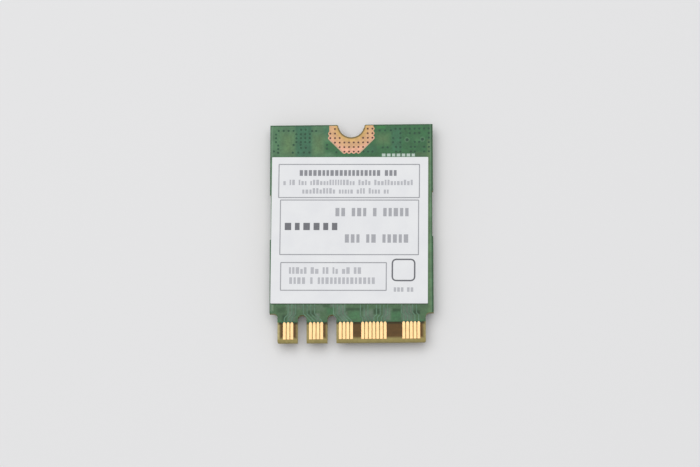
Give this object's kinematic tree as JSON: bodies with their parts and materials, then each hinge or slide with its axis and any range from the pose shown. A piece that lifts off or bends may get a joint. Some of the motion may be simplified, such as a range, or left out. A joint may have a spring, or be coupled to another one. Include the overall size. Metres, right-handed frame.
{
  "type": "laptop wifi card",
  "caption": "Small plug-in radio card for a laptop: green board with gold edge contacts, key notches, a screw notch, a white label and a shielded component side.",
  "frame": {"origin": "middle of the box, at the outer face of the shield lid that the card lies on", "axes": "+Y from the edge contacts to the screw notch, +Z out of the label side, +X across the card, towards the long group of contacts"},
  "size_m": [0.022, 0.03, 0.0024],
  "materials": {
    "laminate": "woven glass and epoxy laminate, satin",
    "solder_mask": "green solder mask, semi-gloss",
    "gold_plating": "gold plate, bright",
    "land_finish": "organic coated copper, satin",
    "label_paper": "coated white label paper, matte",
    "nickel_silver": "rolled nickel silver, satin",
    "insulator_plastic": "moulded ivory plastic",
    "moulding_compound": "moulded black epoxy, matte",
    "tinned_metal": "tin plate, satin",
    "brown_ceramic": "fired brown ceramic, matte",
    "white_ceramic": "fired white ceramic, matte",
    "ferrite": "pressed grey ferrite, matte",
    "resistor_coat": "black glaze coat"
  },
  "bodies": {
    "root": {"laminate_board": "laminate", "solder_mask_label_side": "solder_mask", "solder_mask_component_side": "solder_mask", "edge_contacts_label_side": "gold_plating", "edge_contacts_component_side": "gold_plating", "screw_land_label_side": "land_finish", "screw_land_component_side": "land_finish", "board_notch_plating": "land_finish", "component_lands": "land_finish", "label": "label_paper", "shield_frame": "nickel_silver", "shield_lid": "nickel_silver", "antenna_shell_left": "gold_plating", "antenna_insulator_left": "insulator_plastic", "antenna_pin_left": "gold_plating", "antenna_shell_right": "gold_plating", "antenna_insulator_right": "insulator_plastic", "antenna_pin_right": "gold_plating", "radio_chip_package": "moulding_compound", "radio_chip_terminals": "tinned_metal", "crystal_base": "brown_ceramic", "crystal_lid": "nickel_silver", "crystal_terminals": "tinned_metal", "memory_chip_package": "moulding_compound", "memory_chip_terminals": "tinned_metal", "front_end_module_left": "moulding_compound", "front_end_terminals_left": "tinned_metal", "front_end_module_right": "moulding_compound", "front_end_terminals_right": "tinned_metal", "diplexer_left": "white_ceramic", "diplexer_terminals_left": "tinned_metal", "diplexer_right": "white_ceramic", "diplexer_terminals_right": "tinned_metal", "power_inductor_cores": "ferrite", "power_inductor_terminals": "tinned_metal", "regulator_package": "moulding_compound", "regulator_leads": "tinned_metal", "large_capacitor_bodies": "brown_ceramic", "large_capacitor_terminals": "tinned_metal", "small_capacitor_bodies": "brown_ceramic", "small_capacitor_terminals": "tinned_metal", "resistor_bodies": "resistor_coat", "resistor_terminals": "tinned_metal", "matching_inductor_bodies": "white_ceramic", "matching_inductor_terminals": "tinned_metal", "matching_capacitor_bodies": "brown_ceramic", "matching_capacitor_terminals": "tinned_metal"}
  },
  "joints": []
}
